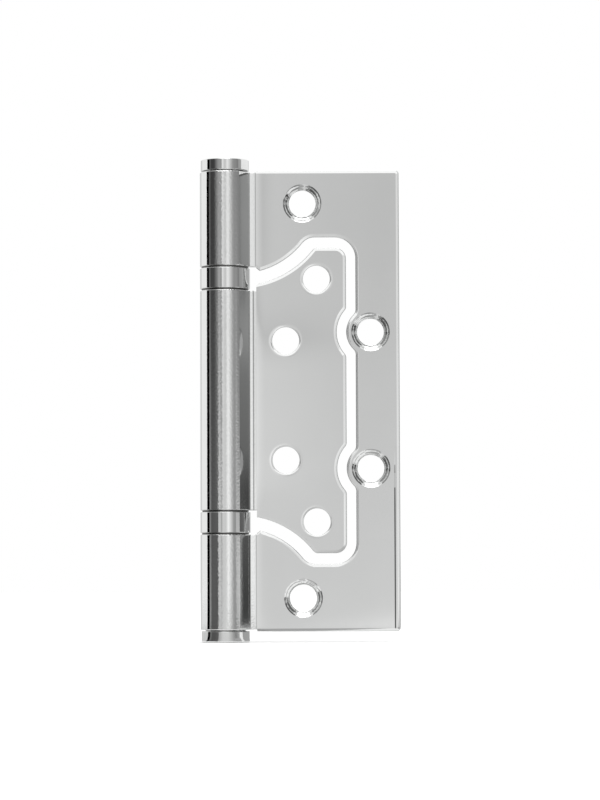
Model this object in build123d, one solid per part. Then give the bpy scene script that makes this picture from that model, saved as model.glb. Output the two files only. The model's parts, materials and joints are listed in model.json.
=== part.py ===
from build123d import *
import math
import os

# Butterfly hinge that needs no mortise: the inner leaf nests in a window of the outer leaf.
# Both leaves are one bent steel sheet each, curled round a common pin, and two caged ball
# bearings run between the three knuckles. A turned cap closes each end of the pin's bore.
# Sizes are millimetres. The pieces are drawn about the pin axis, with the leaves reaching
# along +X, and are moved at the end to the part's own frame: its origin lies on the back
# of the outer leaf, midway between the two end screws, with +Z along the pin and +Y out of
# that back face.

# Sheet and knuckles
SHEET = 2.5
KNUCKLE_RADIUS = 6.5
CREASE_RADIUS = 0.3
EASE_RADIUS = 9.2
EASE_TURN = 10.0
CURL_TURN = 36.0
SEAM_GAP = 0.1
MIDDLE_KNUCKLE_LENGTH = 57.0
BEARING_SPACE = 6.2
END_KNUCKLE_SETBACK = 0.5
EDGE_ROUND = 0.8
KNUCKLE_RIM_ROUND = 0.25

# Outer leaf and its window
LEAF_HEIGHT = 119.6
LEAF_REACH = 45.2
LEAF_CORNER = 1.0
END_BAND = 17.4
SIDE_BAND = 11.35
WINDOW_CORNER = 5.5
SHOULDER_RADIUS = 21.0
SHOULDER_BLEND = 4.0
NECK_STEP = 1.2
NECK_CHAMFER = 0.9
EAR_PROUD = 2.45
EAR_BLEND = 2.0

# Slot between the two leaves, and the inner leaf's own corners
SIDE_SLOT = 2.45
END_SLOT = 2.8
NECK_SLOT = 3.2
INNER_CORNER = 2.8
INNER_SHOULDER_CORNER = 1.5
SCALLOP_CORNER = 1.5

# Screw holes
HOLE_RADIUS = 3.5
COUNTERSINK_RADIUS = 5.0
COUNTERSINK_ANGLE = 100.0
HOLE_RIM_ROUND = 0.4
EDGE_SCREW_INSET = 7.5
END_SCREW_X = 20.1
END_SCREW_INSET = 8.6
EDGE_SCREW_SPACING = 35.4
NEAR_SCREW_X = 15.7
NEAR_SCREW_SPACING = 31.0
FAR_SCREW_SIDE_INSET = 7.7
FAR_SCREW_END_INSET = 8.1
FAR_SCREW_WEB = 2.43

# Pin and end caps
PIN_CLEARANCE = 0.05
PIN_CHAMFER = 0.5
CAP_RADIUS = 6.25
CAP_HEIGHT = 3.2
CAP_EDGE_ROUND = 0.2
CAP_SEAT_RADIUS = 5.2
CAP_SEAT_GAP = 0.3
CAP_STEM_LENGTH = 6.0
CAP_STEM_CLEARANCE = 0.02
CAP_STEM_CHAMFER = 0.5

# Ball bearings
SLEEVE_WALL = 0.4
SLEEVE_END_GAP = 0.4
SLEEVE_EDGE_ROUND = 0.2
RACE_PIN_CLEARANCE = 0.1
FIXED_RACE_CLEARANCE = 0.02
MOVING_RACE_CLEARANCE = 0.1
BALL_RADIUS = 0.6
BALL_COUNT = 8
BALL_CLEARANCE = 0.02
GROOVE_DEPTH = 0.3
CAGE_SIDE_CLEARANCE = 0.08
CAGE_FACE_CLEARANCE = 0.12
CAGE_POCKET_CLEARANCE = 0.05

# Places that follow from the sizes above
bore_radius = KNUCKLE_RADIUS - SHEET
pin_radius = bore_radius - PIN_CLEARANCE
seam_angle = math.degrees(math.asin((SHEET / 2 + SEAM_GAP) / KNUCKLE_RADIUS))
leaf_edge_round = min(EDGE_ROUND, 0.4 * SHEET)

# The bend off the leaf is a long ease and then a tight crease, with a straight run on to the curl
ease = math.radians(EASE_TURN)
ease_depth = EASE_RADIUS + SHEET / 2
crease_arm = EASE_RADIUS - CREASE_RADIUS
crease_depth = ease_depth - crease_arm * math.cos(ease)
crease_x = math.sqrt((KNUCKLE_RADIUS + CREASE_RADIUS) ** 2 - crease_depth**2)
bore_start = math.degrees(math.atan2(crease_depth, crease_x))
curl_start = 90 - CURL_TURN
curl_x = KNUCKLE_RADIUS * math.sin(math.radians(CURL_TURN))
curl_depth = KNUCKLE_RADIUS * math.cos(math.radians(CURL_TURN))
run_length = math.hypot(crease_x - curl_x, curl_depth - crease_depth)
run_bearing = math.atan2(curl_depth - crease_depth, crease_x - curl_x)
run_angle = run_bearing + math.asin(CREASE_RADIUS / run_length)
bend_x = crease_x + crease_arm * math.sin(ease)

leaf_top = LEAF_HEIGHT / 2
middle_end = MIDDLE_KNUCKLE_LENGTH / 2
end_knuckle_start = middle_end + BEARING_SPACE
end_knuckle_end = leaf_top - END_KNUCKLE_SETBACK

window_reach = LEAF_REACH - SIDE_BAND
window_top = leaf_top - END_BAND
inner_reach = window_reach - SIDE_SLOT
inner_top = window_top - END_SLOT

edge_screw_x = LEAF_REACH - EDGE_SCREW_INSET
edge_screw_z = EDGE_SCREW_SPACING / 2
end_screw_z = leaf_top - END_SCREW_INSET
near_screw_z = NEAR_SCREW_SPACING / 2
far_screw_x = inner_reach - FAR_SCREW_SIDE_INSET
far_screw_z = inner_top - FAR_SCREW_END_INSET
ear_radius = edge_screw_x - window_reach + EAR_PROUD

# The shoulder's arc starts at the outer leaf's neck and leaves a web of sheet at the far screw
neck_z = end_knuckle_start - NECK_STEP
screw_run = math.hypot(far_screw_x - bend_x, far_screw_z - neck_z)
screw_bearing = math.atan2(far_screw_z - neck_z, far_screw_x - bend_x)
web_reach = SHOULDER_RADIUS + NECK_SLOT + FAR_SCREW_WEB + HOLE_RADIUS
shoulder_cosine = (SHOULDER_RADIUS**2 + screw_run**2 - web_reach**2) / (2 * SHOULDER_RADIUS * screw_run)
shoulder_bearing = screw_bearing + math.acos(shoulder_cosine)
shoulder_x = bend_x + SHOULDER_RADIUS * math.cos(shoulder_bearing)
shoulder_z = neck_z + SHOULDER_RADIUS * math.sin(shoulder_bearing)

TOUCH = 1e-4
BOTH_SIDES = (-1, 1)

# The sheet's two faces, as signs of Y
FRONT, BACK = -1, 1


def discs(x, z, radius):
    """Two equal discs above and below the leaf's middle, drawn in its plane."""
    return [Pos(x, side * z) * Circle(radius) for side in BOTH_SIDES]


def span(left, right, half_height):
    """A rectangle from left to right, centred on the leaf's middle height."""
    return Pos((left + right) / 2, 0) * Rectangle(right - left, 2 * half_height)


def corners_between(outline, x, low, high):
    """The outline's corners on the line at x, between the heights low and high, on both halves."""
    return [v for v in outline.vertices() if abs(v.X - x) < TOUCH and low < abs(v.Y) < high]


def corners_at(outline, x, z):
    return corners_between(outline, x, z - TOUCH, z + TOUCH)


def window_outline():
    """The outer leaf's window: square cornered towards the edge, shouldered at the knuckles."""
    outline = span(bend_x - LEAF_REACH, window_reach, window_top)
    outline -= discs(shoulder_x, shoulder_z, SHOULDER_RADIUS)
    outline -= discs(edge_screw_x, edge_screw_z, ear_radius)
    corner_x = shoulder_x + math.sqrt(SHOULDER_RADIUS**2 - (shoulder_z - window_top) ** 2)
    ear_corners = corners_between(outline, window_reach, 0, window_top - TOUCH)
    outline = fillet(ear_corners, EAR_BLEND)
    outline = fillet(corners_at(outline, corner_x, window_top), SHOULDER_BLEND)
    return fillet(corners_at(outline, window_reach, window_top), WINDOW_CORNER)


def outer_outline():
    outline = span(bend_x, LEAF_REACH, leaf_top)
    outline = fillet(corners_at(outline, LEAF_REACH, leaf_top), LEAF_CORNER)
    outline -= window_outline()
    return chamfer(corners_at(outline, bend_x, neck_z), NECK_CHAMFER)


def inner_outline():
    """The inner leaf follows the window all round, a slot's width inside it."""
    radius = SHOULDER_RADIUS + NECK_SLOT
    outline = span(bend_x, inner_reach, inner_top)
    outline -= discs(shoulder_x, shoulder_z, radius)
    outline -= discs(edge_screw_x, edge_screw_z, ear_radius + SIDE_SLOT)
    corner_x = shoulder_x + math.sqrt(radius**2 - (shoulder_z - inner_top) ** 2)
    scallop_corners = corners_between(outline, inner_reach, 0, inner_top - TOUCH)
    outline = fillet(scallop_corners, SCALLOP_CORNER)
    outline = fillet(corners_at(outline, corner_x, inner_top), INNER_SHOULDER_CORNER)
    return fillet(corners_at(outline, inner_reach, inner_top), INNER_CORNER)


def flat_sheet(outline):
    """The leaf's flat, with its edges rounded everywhere but at the bend to the knuckles."""
    flat = extrude(Plane.XZ * outline, SHEET / 2, both=True)
    rims = [
        edge
        for edge in flat.edges()
        if abs(abs(edge.center().Y) - SHEET / 2) < TOUCH and edge.center().X > bend_x + TOUCH
    ]
    return fillet(rims, leaf_edge_round)


def knuckle(low, high):
    """The sheet bends off the leaf to the front and curls round the pin, to its open seam behind."""
    ease_centre = (bend_x, -ease_depth)
    crease_centre = (crease_x, -crease_depth)
    hollow_turn = math.degrees(run_angle) - EASE_TURN
    full_turn = 90 - EASE_TURN - bore_start
    outside = CenterArc((0, 0), KNUCKLE_RADIUS, -curl_start, curl_start + seam_angle - 360)
    inside = CenterArc((0, 0), bore_radius, -bore_start, bore_start + seam_angle - 360)
    free_end = Line(outside @ 1, inside @ 1)
    hollow_ease = CenterArc(ease_centre, EASE_RADIUS, 90, EASE_TURN)
    hollow_crease = CenterArc(crease_centre, CREASE_RADIUS, 90 + EASE_TURN, hollow_turn)
    run = Line(hollow_crease @ 1, outside @ 0)
    full_ease = CenterArc(ease_centre, EASE_RADIUS + SHEET, 90, EASE_TURN)
    full_crease = CenterArc(crease_centre, CREASE_RADIUS + SHEET, 90 + EASE_TURN, full_turn)
    leaf_end = Line(hollow_ease @ 0, full_ease @ 0)
    front = [hollow_ease, hollow_crease, run, outside]
    back = [inside, full_crease, full_ease]
    section = make_face([leaf_end, *front, free_end, *back])
    strip = Pos(0, 0, low) * extrude(section, high - low)
    edges = strip.edges()
    curl_rims = [e for e in edges.filter_by(GeomType.CIRCLE) if abs(e.radius - KNUCKLE_RADIUS) < TOUCH]
    run_rims = [e for e in edges.filter_by(GeomType.LINE) if abs(e.length - run.length) < TOUCH]
    return fillet(curl_rims + run_rims, KNUCKLE_RIM_ROUND)


def screw_holes(x, z, face):
    """A pair of holes through the sheet, countersunk from one face."""
    depth = (COUNTERSINK_RADIUS - HOLE_RADIUS) / math.tan(math.radians(COUNTERSINK_ANGLE / 2))
    drill = Cylinder(HOLE_RADIUS, 2 * SHEET)
    sink = Pos(0, 0, SHEET / 2 - depth / 2) * Cone(HOLE_RADIUS, COUNTERSINK_RADIUS, depth)
    tool = Rot(-90 * face, 0, 0) * (drill + sink)
    return [Pos(x, 0, side * z) * tool for side in BOTH_SIDES]


def drilled(leaf, places, sunk_face):
    """The leaf with its screw holes, whose rims are rounded where they aren't countersunk."""
    for x, z in places:
        leaf -= screw_holes(x, z, sunk_face)
    plain_y = -sunk_face * SHEET / 2
    rims = [
        edge
        for edge in leaf.edges().filter_by(GeomType.CIRCLE)
        if abs(edge.radius - HOLE_RADIUS) < TOUCH and abs(edge.center().Y - plain_y) < TOUCH
    ]
    return fillet(rims, HOLE_RIM_ROUND)


def outer_leaf():
    leaf = flat_sheet(outer_outline())
    for side in BOTH_SIDES:
        low, high = sorted((side * end_knuckle_start, side * end_knuckle_end))
        leaf += knuckle(low, high)
    return drilled(leaf, [(END_SCREW_X, end_screw_z), (edge_screw_x, edge_screw_z)], FRONT)


def inner_leaf():
    """Curled as the outer leaf is, but its screws go in from the other face."""
    leaf = flat_sheet(inner_outline()) + knuckle(-middle_end, middle_end)
    return drilled(leaf, [(NEAR_SCREW_X, near_screw_z), (far_screw_x, far_screw_z)], BACK)


def hinge_pin():
    """A round bar that fills the bore between the two cap stems."""
    pin = Cylinder(pin_radius, 2 * (end_knuckle_end - CAP_STEM_LENGTH))
    return chamfer(pin.edges().filter_by(GeomType.CIRCLE), PIN_CHAMFER)


def end_cap():
    """The upper cap: a head that stands on a shoulder, and a stem pressed into the knuckle's bore."""
    from_below = (Align.CENTER, Align.CENTER, Align.MIN)
    from_above = (Align.CENTER, Align.CENTER, Align.MAX)
    head = Pos(0, 0, CAP_SEAT_GAP) * Cylinder(CAP_RADIUS, CAP_HEIGHT - CAP_SEAT_GAP, align=from_below)
    head = fillet(head.edges().filter_by(GeomType.CIRCLE), CAP_EDGE_ROUND)
    shoulder = Cylinder(CAP_SEAT_RADIUS, CAP_SEAT_GAP, align=from_below)
    stem = Cylinder(bore_radius - CAP_STEM_CLEARANCE, CAP_STEM_LENGTH, align=from_above)
    stem = chamfer(stem.edges().sort_by(Axis.Z)[0], CAP_STEM_CHAMFER)
    return Pos(0, 0, end_knuckle_end) * (head + shoulder + stem)


def ring(inner, outer, height):
    return Cylinder(outer, height) - Cylinder(inner, height)


def bearing():
    """The upper bearing's pieces: races, balls and cage in a sleeve as wide as the knuckles."""
    middle = Pos(0, 0, middle_end + BEARING_SPACE / 2)
    sleeve_bore = KNUCKLE_RADIUS - SLEEVE_WALL
    race_bore = pin_radius + RACE_PIN_CLEARANCE
    moving_rim = sleeve_bore - MOVING_RACE_CLEARANCE
    track = (race_bore + moving_rim) / 2
    race_gap = 2 * (BALL_RADIUS + BALL_CLEARANCE - GROOVE_DEPTH)
    race_height = (BEARING_SPACE - race_gap) / 2
    race_z = (race_gap + race_height) / 2
    groove = Torus(track, BALL_RADIUS + BALL_CLEARANCE)

    sleeve = ring(sleeve_bore, KNUCKLE_RADIUS, BEARING_SPACE - 2 * SLEEVE_END_GAP)
    rims = [
        edge
        for edge in sleeve.edges().filter_by(GeomType.CIRCLE)
        if abs(edge.radius - KNUCKLE_RADIUS) < TOUCH
    ]
    sleeve = fillet(rims, SLEEVE_EDGE_ROUND)
    fixed_race = Pos(0, 0, race_z) * ring(race_bore, sleeve_bore - FIXED_RACE_CLEARANCE, race_height)
    moving_race = Pos(0, 0, -race_z) * ring(race_bore, moving_rim, race_height)

    pocket = Cylinder(BALL_RADIUS + CAGE_POCKET_CLEARANCE, BEARING_SPACE)
    cage = ring(
        race_bore + CAGE_SIDE_CLEARANCE,
        moving_rim - CAGE_SIDE_CLEARANCE,
        race_gap - 2 * CAGE_FACE_CLEARANCE,
    )
    places = PolarLocations(track, BALL_COUNT)
    cage -= [place * pocket for place in places]
    balls = Compound([place * Sphere(BALL_RADIUS) for place in places])
    pieces = {
        "sleeve": sleeve,
        "fixed_race": fixed_race - groove,
        "moving_race": moving_race - groove,
        "ball_cage": cage,
        "balls": balls,
    }
    return {name: middle * piece for name, piece in pieces.items()}


def hinge():
    """Every piece by name, about the pin axis. The lower end is the upper one turned over."""
    turned_over = Rot(180, 0, 0)
    pieces = {
        "outer_leaf": outer_leaf(),
        "inner_leaf": inner_leaf(),
        "hinge_pin": hinge_pin(),
        "top_end_cap": end_cap(),
        "bottom_end_cap": turned_over * end_cap(),
    }
    for name, piece in bearing().items():
        pieces[f"upper_bearing_{name}"] = piece
        pieces[f"lower_bearing_{name}"] = turned_over * piece
    return pieces


os.makedirs("parts", exist_ok=True)
to_part_frame = Pos(-END_SCREW_X, -SHEET / 2, 0)
for name, piece in hinge().items():
    export_step(to_part_frame * piece, f"parts/{name}.step")
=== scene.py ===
import json
import math

import bpy
from mathutils import Matrix, Vector


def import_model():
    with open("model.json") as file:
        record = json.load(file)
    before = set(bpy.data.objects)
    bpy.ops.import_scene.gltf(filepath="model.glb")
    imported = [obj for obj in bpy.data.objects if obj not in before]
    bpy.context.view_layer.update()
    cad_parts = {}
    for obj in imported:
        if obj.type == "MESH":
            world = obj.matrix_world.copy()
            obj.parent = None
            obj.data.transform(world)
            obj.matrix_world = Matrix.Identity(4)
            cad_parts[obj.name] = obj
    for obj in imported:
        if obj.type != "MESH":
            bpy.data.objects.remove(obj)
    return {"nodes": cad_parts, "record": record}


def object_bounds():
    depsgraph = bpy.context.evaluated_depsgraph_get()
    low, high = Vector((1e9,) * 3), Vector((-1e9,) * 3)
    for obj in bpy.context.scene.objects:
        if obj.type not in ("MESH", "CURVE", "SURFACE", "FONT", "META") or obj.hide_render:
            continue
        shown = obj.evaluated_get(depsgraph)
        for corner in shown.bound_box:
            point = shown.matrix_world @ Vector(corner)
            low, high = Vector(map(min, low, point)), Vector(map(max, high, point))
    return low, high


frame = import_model()
cad_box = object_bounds()

MM = 0.001

# The photograph's viewpoint, in millimetres and degrees
IMAGE_HEIGHT = 800
FOCAL_PIXELS = 3394
SENSOR = 36.0
CAMERA_DISTANCE = 880.0
CAMERA_ELEVATION = -3.0
CAMERA_ROLL = 0.2
CAMERA_TARGET = (-0.73, -1.25, 0.1)
CLIP_NEAR = 10.0
CLIP_FAR = 20000.0

# The pin's axis, and where the leaves' flats end and their bend begins, in millimetres
PIN_X = -20.1
PIN_Y = -1.25
BEND_X = -11.95
BEND_BLEND = 1.0

# A leaf's rims, holes and countersinks, in millimetres. The rims' slope follows a curve from 0 to 1
# through two points, and the least lean keeps a division from zero. The dents' noise has a scale
# per metre and a detail.
RIM_SLOPE = ((0.08, 0.125), (0.8, 0.17))
LEAST_LEAN = 0.001
RIM_ROUGHNESS = 0.14
HOLE_RADIUS = 3.5
COUNTERSINK_RADIUS = 5.0
COUNTERSINK_BLEND = 0.2
DRAWN_IN_DEPTH = 0.07
DRAWN_IN_WIDTH = 1.0
DENT_NOISE = (1100.0, 2.0)
DENT_DEPTH = 0.05
RING_PITCH = 0.75
RING_DEPTH = 0.014

# How fast a leaf's sag, its bulge and its drawn-in holes die away, and the heights between which
# its edge line and its bulge fade in, in millimetres
SAG_POWER = 3.0
BULGE_POWER = 2.0
DRAWN_IN_POWER = 2.0
EDGE_LINE_START = -12.0
EDGE_LINE_FULL = -28.0
BULGE_TOP = (30.0, 6.0)
BULGE_BOTTOM = (-36.0, -12.0)

# How far the normal faces along y on a flat and on a countersunk face, and along x where the curl's
# grain fades at its sides, each from none to full, and the share of grain that the sides keep
FLAT_FACING = (0.85, 0.99)
SUNK_FACING = (0.3, 0.6)
GRAIN_LEFT = (-0.6, -0.35)
GRAIN_RIGHT = (0.6, 0.5)
SIDE_GRAIN = 0.15

# The noises' detail, the scales per metre of the cloudy colour and gloss, the stretch of drawn
# lines, and the painted shade in narrow gaps with its reach in millimetres
FINE_DETAIL = 3.0
LINE_DETAIL = 2.0
CLOUD_SCALE = 90.0
GLOSS_SCALE = 420.0
LINE_STRETCH = (1, 1, 0.01)
# The next four set painted shade: ambient occlusion darkens the colour in narrow gaps.
GAP_SHADE_REACH = 0.6
GAP_SHADE_COLOUR = (0.03, 0.029, 0.027, 1)
GAP_SHADE_OPEN = (0.2, 0.5)
GAP_SHADE_SAMPLES = 8

WHITE = (1, 1, 1, 1)


def feed(tree, socket, value):
    """Sets a socket to a plain value, or links it from another socket."""
    if isinstance(value, bpy.types.NodeSocket):
        tree.links.new(value, socket)
    else:
        socket.default_value = value


def node(tree, kind, **values):
    """A new node with its inputs, given by name, fed."""
    made = tree.nodes.new(kind)
    for name, value in values.items():
        feed(tree, made.inputs[name.replace("_", " ")], value)
    return made


def math_node(tree, operation, first, second=0.0):
    made = tree.nodes.new("ShaderNodeMath")
    made.operation = operation
    feed(tree, made.inputs[0], first)
    feed(tree, made.inputs[1], second)
    return made.outputs[0]


def parts(tree, vector):
    return node(tree, "ShaderNodeSeparateXYZ", Vector=vector).outputs


def mixed(tree, kind, share, first, second):
    """Two vectors or two colours mixed, from the first at 0 to the second at 1."""
    mix = node(tree, "ShaderNodeMix")
    mix.data_type = kind
    feed(tree, mix.inputs["Factor"], share)
    ends = [socket for socket in mix.inputs if socket.type == kind and socket.name in ("A", "B")]
    feed(tree, ends[0], first)
    feed(tree, ends[1], second)
    return [socket for socket in mix.outputs if socket.type == kind][0]


def new_material(name):
    material = bpy.data.materials.new(name)
    material.use_nodes = True
    material.node_tree.nodes.clear()
    return material, material.node_tree


def surface(tree, shader):
    out = node(tree, "ShaderNodeOutputMaterial")
    tree.links.new(shader.outputs[0], out.inputs["Surface"])


def noise(tree, coordinates, scale, detail, stretch=(1, 1, 1)):
    """A noise from 0 to 1 over the part, with its scale per metre."""
    placed = node(tree, "ShaderNodeMapping", Vector=coordinates, Scale=stretch).outputs[0]
    made = node(tree, "ShaderNodeTexNoise", Vector=placed, Scale=scale, Detail=detail)
    return made.outputs["Fac"]


def remap(tree, value, low, high, start=0.0, end=1.0):
    """The value mapped from start and end to low and high, and held there outside them."""
    made = node(tree, "ShaderNodeMapRange", Value=value, From_Min=start, From_Max=end)
    made.inputs["To Min"].default_value = low
    made.inputs["To Max"].default_value = high
    return made.outputs["Result"]


def band(tree, value, start, end):
    """Rises softly from 0 at the start to 1 at the end, both in millimetres."""
    made = node(tree, "ShaderNodeMapRange", Value=value, From_Min=start * MM, From_Max=end * MM)
    made.interpolation_type = "SMOOTHERSTEP"
    return made.outputs["Result"]


def bump(tree, height, depth, normal=None):
    """The normal over a height from 0 to 1, whose depth is in millimetres."""
    values = {"Height": height, "Distance": depth * MM, "Strength": 1.0}
    if normal is not None:
        values["Normal"] = normal
    return node(tree, "ShaderNodeBump", **values).outputs["Normal"]


def painted_gap_shade(tree, colour):
    """Painted shade in narrow gaps: a colour darkened where ambient occlusion finds nearby
    surfaces.
    """
    shade = node(tree, "ShaderNodeAmbientOcclusion", Distance=GAP_SHADE_REACH * MM)
    shade.samples = GAP_SHADE_SAMPLES
    unshaded = remap(tree, shade.outputs["AO"], 0.0, 1.0, *GAP_SHADE_OPEN)
    return mixed(tree, "RGBA", unshaded, GAP_SHADE_COLOUR, colour)


def other_leg(tree, leg):
    """The other leg of a right triangle whose long side is 1."""
    rest = math_node(tree, "SUBTRACT", 1.0, math_node(tree, "MULTIPLY", leg, leg))
    return math_node(tree, "SQRT", rest)


def rolled_off(tree, normal, where):
    """A leaf's normal, turned where the rims are, so that they slope gently and then drop."""
    x, y, z = parts(tree, normal)
    aside = other_leg(tree, y)
    curve_node = node(tree, "ShaderNodeFloatCurve", Value=aside)
    curve = curve_node.mapping.curves[0]
    for place in RIM_SLOPE:
        curve.points.new(*place)
    for point in curve.points:
        point.handle_type = "VECTOR"
    curve_node.mapping.update()
    slope = curve_node.outputs["Value"]
    share = math_node(tree, "DIVIDE", slope, math_node(tree, "MAXIMUM", aside, LEAST_LEAN))
    turned = node(
        tree,
        "ShaderNodeCombineXYZ",
        X=math_node(tree, "MULTIPLY", x, share),
        Y=math_node(tree, "MULTIPLY", other_leg(tree, slope), math_node(tree, "SIGN", y)),
        Z=math_node(tree, "MULTIPLY", z, share),
    )
    turned = mixed(tree, "VECTOR", where, normal, turned.outputs["Vector"])
    placed = node(tree, "ShaderNodeVectorTransform", Vector=turned)
    placed.vector_type = "NORMAL"
    placed.convert_from = "OBJECT"
    placed.convert_to = "WORLD"
    return placed.outputs["Vector"]


def hole_distance(tree, x, z, mounts):
    """How far a point of a leaf is from the axis of its nearest screw hole, in the leaf's plane."""
    height = math_node(tree, "ABSOLUTE", z)
    flat = node(tree, "ShaderNodeCombineXYZ", X=x, Z=height).outputs["Vector"]
    nearest = None
    for mount in mounts:
        away = tree.nodes.new("ShaderNodeVectorMath")
        away.operation = "DISTANCE"
        feed(tree, away.inputs[0], flat)
        hole_z = mount["dims"]["spacing_y_mm"] / 2 * MM
        feed(tree, away.inputs[1], (mount["pos_m"][0], 0, hole_z))
        distance = away.outputs["Value"]
        nearest = math_node(tree, "MINIMUM", nearest, distance) if nearest else distance
    return nearest


def beside_bend(tree, x, length, power):
    """Falls from 1 at the bend to 0 at a length from it, faster near the bend."""
    run = remap(tree, x, 1.0, 0.0, BEND_X * MM, (BEND_X + length) * MM)
    return math_node(tree, "POWER", run, power)


def pressed(tree, x, z, normal, curl, leaf):
    """The normal of a leaf with its sag, its bulge and its die lines."""
    depth, length = leaf["sag"]
    normal = bump(tree, beside_bend(tree, x, length, SAG_POWER), depth, normal)
    if "bulge" in leaf:
        depth, length = leaf["bulge"]
        ends = math_node(tree, "MULTIPLY", band(tree, z, *BULGE_BOTTOM), band(tree, z, *BULGE_TOP))
        bulge = math_node(tree, "MULTIPLY", beside_bend(tree, x, length, BULGE_POWER), ends)
        normal = mixed(tree, "VECTOR", curl, bump(tree, bulge, depth, normal), normal)
    line_x, depth, width = leaf["die_line"]
    away = math_node(tree, "ABSOLUTE", math_node(tree, "SUBTRACT", x, line_x * MM))
    normal = bump(tree, remap(tree, away, 0.0, 1.0, 0.0, width * MM), depth, normal)
    if "edge_line" in leaf:
        line_x, depth, width = leaf["edge_line"]
        rise = remap(tree, x, 0.0, 1.0, line_x * MM, (line_x + width) * MM)
        lower = remap(tree, z, 1.0, 0.0, EDGE_LINE_FULL * MM, EDGE_LINE_START * MM)
        normal = bump(tree, math_node(tree, "MULTIPLY", rise, lower), depth, normal)
    return normal


def leaf_form(tree, coordinates, leaf):
    """What pressing leaves on a leaf: its normal, where its curl is grained, and its rims.

    The leaf sags towards the bend and may bulge beside the middle knuckle, each by a depth over a
    length. A die line runs along the bend and may run along the lower outer edge, each at an x with
    a depth and a width. The metal is drawn in at plain holes, and dented and turned in rings in the
    countersinks, which are on one side of the leaf."""
    x, _, z = parts(tree, coordinates["Object"])
    side, facing, _ = parts(tree, coordinates["Normal"])
    flat = remap(tree, math_node(tree, "ABSOLUTE", facing), 0.0, 1.0, *FLAT_FACING)
    turned = math_node(tree, "SUBTRACT", 1.0, flat)
    curl = remap(tree, x, 1.0, 0.0, (BEND_X - BEND_BLEND) * MM, BEND_X * MM)
    left = remap(tree, side, SIDE_GRAIN, 1.0, *GRAIN_LEFT)
    right = remap(tree, side, SIDE_GRAIN, 1.0, *GRAIN_RIGHT)
    grained = math_node(tree, "MULTIPLY", curl, math_node(tree, "MINIMUM", left, right))

    from_hole = hole_distance(tree, x, z, leaf["holes"])
    sink_end = COUNTERSINK_RADIUS + COUNTERSINK_BLEND
    near = remap(tree, from_hole, 1.0, 0.0, COUNTERSINK_RADIUS * MM, sink_end * MM)
    sunk_face = math_node(tree, "MULTIPLY", facing, leaf["sunk_side"])
    sunk = math_node(tree, "MULTIPLY", near, remap(tree, sunk_face, 0.0, 1.0, *SUNK_FACING))
    sheared = remap(tree, math_node(tree, "ADD", sunk, curl), 1.0, 0.0)
    normal = rolled_off(tree, coordinates["Normal"], sheared)
    normal = pressed(tree, x, z, normal, curl, leaf)

    drawn_end = HOLE_RADIUS + DRAWN_IN_WIDTH
    drawn_in = remap(tree, from_hole, 1.0, 0.0, HOLE_RADIUS * MM, drawn_end * MM)
    drawn_in = math_node(tree, "POWER", drawn_in, DRAWN_IN_POWER)
    drawn_in = bump(tree, drawn_in, -DRAWN_IN_DEPTH, normal)
    normal = mixed(tree, "VECTOR", flat, normal, drawn_in)
    cone = math_node(tree, "MULTIPLY", sunk, turned)
    dents = math_node(tree, "MULTIPLY", noise(tree, coordinates["Object"], *DENT_NOISE), cone)
    normal = bump(tree, dents, DENT_DEPTH, normal)
    turns = math_node(tree, "MULTIPLY", from_hole, 2 * math.pi / (RING_PITCH * MM))
    rings = math_node(tree, "MULTIPLY", math_node(tree, "SINE", turns), cone)
    normal = bump(tree, rings, RING_DEPTH, normal)
    return normal, grained, math_node(tree, "MULTIPLY", sheared, turned)


def metal(name, dark, light, roughness, peel, lines, leaf=None):
    """Plated metal: cloudy in colour and gloss, with orange peel, drawn lines and painted shade in
    narrow gaps.

    Peel and lines each have a scale per metre and a depth in millimetres. On a leaf only the front
    of the curl is grained, and the sheared rims are satin."""
    material, tree = new_material(name)
    coordinates = node(tree, "ShaderNodeTexCoord").outputs
    place = coordinates["Object"]
    ramp = node(tree, "ShaderNodeValToRGB", Fac=noise(tree, place, CLOUD_SCALE, FINE_DETAIL))
    ramp.color_ramp.elements[0].color = (*dark, 1)
    ramp.color_ramp.elements[1].color = (*light, 1)
    gloss = remap(tree, noise(tree, place, GLOSS_SCALE, FINE_DETAIL), *roughness)
    grain = noise(tree, place, peel[0], FINE_DETAIL)
    drawn = noise(tree, place, lines[0], LINE_DETAIL, LINE_STRETCH)
    normal = None
    if leaf:
        normal, grained, rims = leaf_form(tree, coordinates, leaf)
        grain = math_node(tree, "MULTIPLY", grain, grained)
        drawn = math_node(tree, "MULTIPLY", drawn, grained)
        satin = math_node(tree, "MULTIPLY", rims, RIM_ROUGHNESS)
        gloss = math_node(tree, "MAXIMUM", gloss, satin)
    normal = bump(tree, drawn, lines[1], normal)
    normal = bump(tree, grain, peel[1], normal)
    # The base colour carries painted shade, darkened by ambient occlusion in narrow gaps.
    shader = node(
        tree,
        "ShaderNodeBsdfPrincipled",
        Base_Color=painted_gap_shade(tree, ramp.outputs["Color"]),
        Metallic=1.0,
        Roughness=gloss,
        Normal=normal,
    )
    surface(tree, shader)
    return material


def screw_mounts(side):
    mounts = frame["record"]["mounts"]
    return [m for m in mounts if m["kind"] == "bolt_pattern" and m["name"].startswith(side)]


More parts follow.
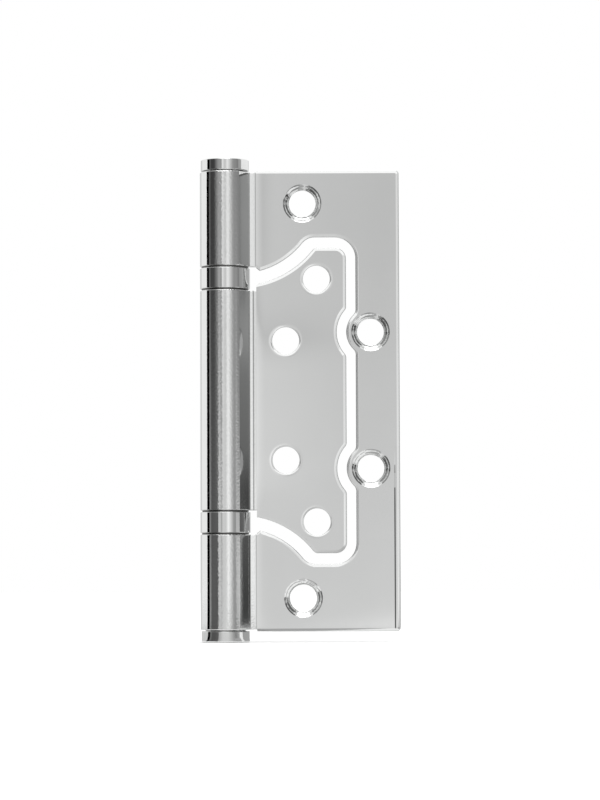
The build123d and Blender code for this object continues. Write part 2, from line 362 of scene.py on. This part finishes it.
LEAF_CHROME = {
    "dark": (0.765, 0.772, 0.767),
    "light": (0.80, 0.805, 0.80),
    "roughness": (0.03, 0.07),
    "peel": (1900.0, 0.03),
    "lines": (2200.0, 0.004),
}
TURNED_CHROME = {
    "dark": (0.77, 0.777, 0.772),
    "light": (0.805, 0.81, 0.805),
    "roughness": (0.03, 0.06),
    "peel": (1500.0, 0.0015),
    "lines": (1500.0, 0.001),
}
BEARING_STEEL = {
    "dark": (0.10, 0.10, 0.10),
    "light": (0.18, 0.18, 0.175),
    "roughness": (0.25, 0.4),
    "peel": (3000.0, 0.002),
    "lines": (1500.0, 0.001),
}
CAGE_BRASS = {
    "dark": (0.66, 0.50, 0.24),
    "light": (0.74, 0.58, 0.30),
    "roughness": (0.18, 0.3),
    "peel": (3000.0, 0.002),
    "lines": (1500.0, 0.001),
}
OUTER_LEAF = {
    "holes": screw_mounts("jamb"),
    "sunk_side": -1.0,
    "sag": (0.12, 6.0),
    "die_line": (-12.15, 0.025, 0.12),
    "edge_line": (23.55, 0.165, 0.35),
}
INNER_LEAF = {
    "holes": screw_mounts("door"),
    "sunk_side": 1.0,
    "sag": (0.03, 2.5),
    "bulge": (0.8, 31.5),
    "die_line": (-12.73, 0.055, 0.18),
}


def materials():
    """Each node gets its slot's material, and the leaves get one of their own."""
    slots = {
        "turned_chrome": metal("turned_chrome", **TURNED_CHROME),
        "bearing_steel": metal("bearing_steel", **BEARING_STEEL),
        "cage_brass": metal("cage_brass", **CAGE_BRASS),
    }
    leaves = {
        "outer_leaf": metal("outer_chrome", **LEAF_CHROME, leaf=OUTER_LEAF),
        "inner_leaf": metal("inner_chrome", **LEAF_CHROME, leaf=INNER_LEAF),
    }
    for subpart in frame["record"]["subparts"]:
        mesh = frame["nodes"][subpart["node"]].data
        mesh.materials.clear()
        mesh.materials.append(leaves.get(subpart["node"]) or slots[subpart["material_slot"]])


materials()

# Studio cards stand in a circle round the pin and run on over the floor towards it. Bearings are in
# degrees from the camera's side, positive to its right, and lengths and heights in metres.
CARD_RADIUS = 1.5
CARD_REACH = 0.3
MAT_REACH = 0.18
MAT_RADIUS = 0.012
CARD_LIFT = 0.0002
FLOOR_Z = cad_box[0].z
FLOOR, LOW, MIDDLE, HIGH = FLOOR_Z + CARD_LIFT, -0.06, 0.075, 0.2
CARD_TOP = 0.34
SHORT_TOP = 0.235
PANEL_STEPS = 12

# Each card's bearings, and the brightness of its left and right ends by height
CARDS = {
    "left_flag": ((-92, -77), {FLOOR: (0.0, 0.0), LOW: (0.0, 0.0), HIGH: (0.0, 0.0)}),
    "left_strip": ((-77, -67), {FLOOR: (0.2, 0.14), LOW: (0.4, 0.16), HIGH: (0.16, 0.07)}),
    "left_wall": ((-67, -50), {FLOOR: (0.1, 0.1), LOW: (0.12, 0.13), HIGH: (0.05, 0.06)}),
    "left_ramp": ((-50, -32), {FLOOR: (0.1, 0.14), LOW: (0.13, 0.08), HIGH: (0.06, 0.32)}),
    "left_fill": ((-32, -20), {FLOOR: (0.42, 0.6), LOW: (0.75, 0.72), HIGH: (0.34, 0.4)}),
    "left_gap": (
        (-20, -13),
        {FLOOR: (0.62, 0.72), LOW: (0.52, 0.6), MIDDLE: (0.3, 0.42), HIGH: (0.34, 0.42)},
    ),
    "front": ((-13, 3.2), {FLOOR: (0.74, 0.76), LOW: (0.66, 0.75), HIGH: (0.98, 0.62)}),
    "front_rise": ((3.2, 6), {FLOOR: (0.76, 0.76), LOW: (0.75, 0.83), HIGH: (0.62, 0.78)}),
    "key_rise": ((6, 14), {FLOOR: (0.76, 0.72), LOW: (0.83, 1.14), HIGH: (0.78, 0.97)}),
    "key_fall": ((14, 38), {FLOOR: (0.72, 0.4), LOW: (1.14, 0.4), HIGH: (0.97, 0.4)}),
    "right_wall": ((38, 50), {FLOOR: (0.4, 0.25), LOW: (0.38, 0.35), HIGH: (0.38, 0.3)}),
    "right_fill": (
        (50, 69),
        {FLOOR: (0.25, 0.5), LOW: (0.6, 0.78), MIDDLE: (0.5, 0.18), HIGH: (0.32, 0.24)},
    ),
    "right_flag": (
        (69, 87),
        {FLOOR: (1.05, 1.0), LOW: (0.07, 0.07), MIDDLE: (0.22, 0.24), HIGH: (0.38, 0.44)},
    ),
    "right_side": ((87, 100), {FLOOR: (0.4, 0.42), LOW: (0.08, 0.12), HIGH: (0.46, 0.5)}),
    "right_back": ((100, 150), {FLOOR: (0.42, 0.42), LOW: (0.25, 0.25), HIGH: (0.5, 0.5)}),
    "back": ((150, 223), {FLOOR: (0.7, 0.7), LOW: (0.75, 0.75), HIGH: (0.75, 0.75)}),
}
SHORT_CARDS = ("right_side", "right_back")

# The hoods over the cards lean in through these radii and heights, and have one brightness each
HOOD_LEAN = ((1.2, 0.9), (0.8, 1.15))
HOODS = {
    "left_hood": ((-100, -25), 0.3),
    "front_hood": ((-25, 25), 1.2),
    "right_hood": ((25, 100), 0.14),
}

# Two mats lie on the floor. The left one has a brightness near the pin and another far from it.
# The foot one is painted shadow: a darker patch near the pin that only reflections see.
LEFT_MAT = (-137, -92)
LEFT_MAT_NEAR, LEFT_MAT_FAR = 0.7, 0.93
FOOT_SHADOW_MAT = (40, 73)
FOOT_SHADOW_LIFT = 0.0001
FOOT_SHADOW_Z = FLOOR + FOOT_SHADOW_LIFT
FOOT_SHADOW_RADII = (0.014, 0.055)
FOOT_SHADOW_LEVEL = 0.45


def card_material():
    material, tree = new_material("card")
    level = node(tree, "ShaderNodeAttribute")
    level.attribute_name = "glow"
    surface(tree, node(tree, "ShaderNodeEmission", Color=WHITE, Strength=level.outputs["Fac"]))
    return material


CARD = card_material()


def panel(name, bearings, rows):
    """A curved card that only reflections see. Each of its rows, from one edge to the other, has a
    radius, a height, and the brightness at its left and right ends."""
    points, glow, faces = [], [], []
    for i in range(PANEL_STEPS + 1):
        share = i / PANEL_STEPS
        turn = math.radians(bearings[0] + share * (bearings[1] - bearings[0]))
        for radius, z, (left, right) in rows:
            x = PIN_X * MM + radius * math.sin(turn)
            y = PIN_Y * MM - radius * math.cos(turn)
            points.append((x, y, z))
            glow.append(left + share * (right - left))
    count = len(rows)
    for i in range(PANEL_STEPS):
        for j in range(count - 1):
            a, b = i * count + j, (i + 1) * count + j
            faces.append((a, b, b + 1, a + 1))
    mesh = bpy.data.meshes.new(name)
    mesh.from_pydata(points, [], faces)
    mesh.attributes.new("glow", "FLOAT", "POINT").data.foreach_set("value", glow)
    mesh.materials.append(CARD)
    made = bpy.data.objects.new(name, mesh)
    bpy.context.scene.collection.objects.link(made)
    made.visible_camera = False
    made.visible_diffuse = False
    made.visible_shadow = False


def floor_rows(near, far):
    """The part of a card that lies on the floor, with a brightness near the pin and far from it."""
    return [
        (MAT_RADIUS, FLOOR, near),
        (MAT_REACH, FLOOR, near),
        (CARD_REACH, FLOOR, far),
        (CARD_RADIUS, FLOOR, far),
    ]


def cards():
    for name, (bearings, levels) in CARDS.items():
        rows = floor_rows(levels[FLOOR], levels[LOW])
        rows += [(CARD_RADIUS, z, ends) for z, ends in levels.items() if z != FLOOR]
        top = SHORT_TOP if name in SHORT_CARDS else CARD_TOP
        rows.append((CARD_RADIUS, top, levels[HIGH]))
        panel(name, bearings, rows)
    for name, (bearings, level) in HOODS.items():
        lean = ((CARD_RADIUS, CARD_TOP), *HOOD_LEAN)
        panel(name, bearings, [(radius, z, (level, level)) for radius, z in lean])
    near, far = (LEFT_MAT_NEAR, LEFT_MAT_NEAR), (LEFT_MAT_FAR, LEFT_MAT_FAR)
    panel("left_mat", LEFT_MAT, floor_rows(near, far))
    # The foot mat is painted shadow: a darker patch near the pin, seen only in reflections.
    ends = (FOOT_SHADOW_LEVEL, FOOT_SHADOW_LEVEL)
    panel("painted_foot_shadow", FOOT_SHADOW_MAT, [(radius, FOOT_SHADOW_Z, ends) for radius in FOOT_SHADOW_RADII])


cards()

FLOOR_HALF = 3.0
FLOOR_LIFT = 0.15
PAPER = (0.92, 0.92, 0.92, 1)


def floor():
    """Pale paper, lifted a little where the camera or a reflection sees it."""
    mesh = bpy.data.meshes.new("floor")
    half = FLOOR_HALF
    corners = [(-half, -half), (half, -half), (half, half), (-half, half)]
    mesh.from_pydata([(x, y, FLOOR_Z) for x, y in corners], [], [(0, 1, 2, 3)])
    made = bpy.data.objects.new("floor", mesh)
    bpy.context.scene.collection.objects.link(made)
    material, tree = new_material("floor")
    path = node(tree, "ShaderNodeLightPath").outputs
    seen = math_node(tree, "MAXIMUM", path["Is Camera Ray"], path["Is Glossy Ray"])
    lift = math_node(tree, "MULTIPLY", seen, FLOOR_LIFT)
    glow = node(tree, "ShaderNodeEmission", Color=WHITE, Strength=lift)
    paper = node(tree, "ShaderNodeBsdfDiffuse", Color=PAPER)
    both = node(tree, "ShaderNodeAddShader")
    tree.links.new(paper.outputs[0], both.inputs[0])
    tree.links.new(glow.outputs[0], both.inputs[1])
    surface(tree, both)
    mesh.materials.append(material)


floor()


def world():
    made = bpy.data.worlds.new("studio")
    made.use_nodes = True
    tree = made.node_tree
    tree.nodes.clear()
    sky = node(tree, "ShaderNodeBackground", Color=WHITE, Strength=1.0)
    out = node(tree, "ShaderNodeOutputWorld")
    tree.links.new(sky.outputs[0], out.inputs["Surface"])
    bpy.context.scene.world = made


world()

SOFT_BOX_SIZE = (0.9, 0.45)
SOFT_BOX_WATTS = 3.0
SOFT_BOX_PLACE = (0, -0.2, 1.2)


def soft_box():
    lamp = bpy.data.lights.new("soft_box", "AREA")
    lamp.shape = "RECTANGLE"
    lamp.size, lamp.size_y = SOFT_BOX_SIZE
    lamp.energy = SOFT_BOX_WATTS
    made = bpy.data.objects.new("soft_box", lamp)
    made.location = SOFT_BOX_PLACE
    made.rotation_euler = (-made.location).to_track_quat("-Z", "Y").to_euler()
    bpy.context.scene.collection.objects.link(made)


soft_box()


def camera():
    data = bpy.data.cameras.new("camera")
    data.sensor_width = SENSOR
    data.lens = FOCAL_PIXELS * SENSOR / IMAGE_HEIGHT
    data.clip_start = CLIP_NEAR * MM
    data.clip_end = CLIP_FAR * MM
    made = bpy.data.objects.new("camera", data)
    bpy.context.scene.collection.objects.link(made)
    tilt = math.radians(CAMERA_ELEVATION)
    back = Vector((0, -math.cos(tilt), math.sin(tilt)))
    made.location = (Vector(CAMERA_TARGET) + back * CAMERA_DISTANCE) * MM
    look = (-back).to_track_quat("-Z", "Y").to_matrix()
    roll = Matrix.Rotation(math.radians(-CAMERA_ROLL), 3, "Z")
    made.rotation_euler = (look @ roll).to_euler()
    bpy.context.scene.camera = made


camera()
bpy.context.scene.view_settings.view_transform = "Standard"
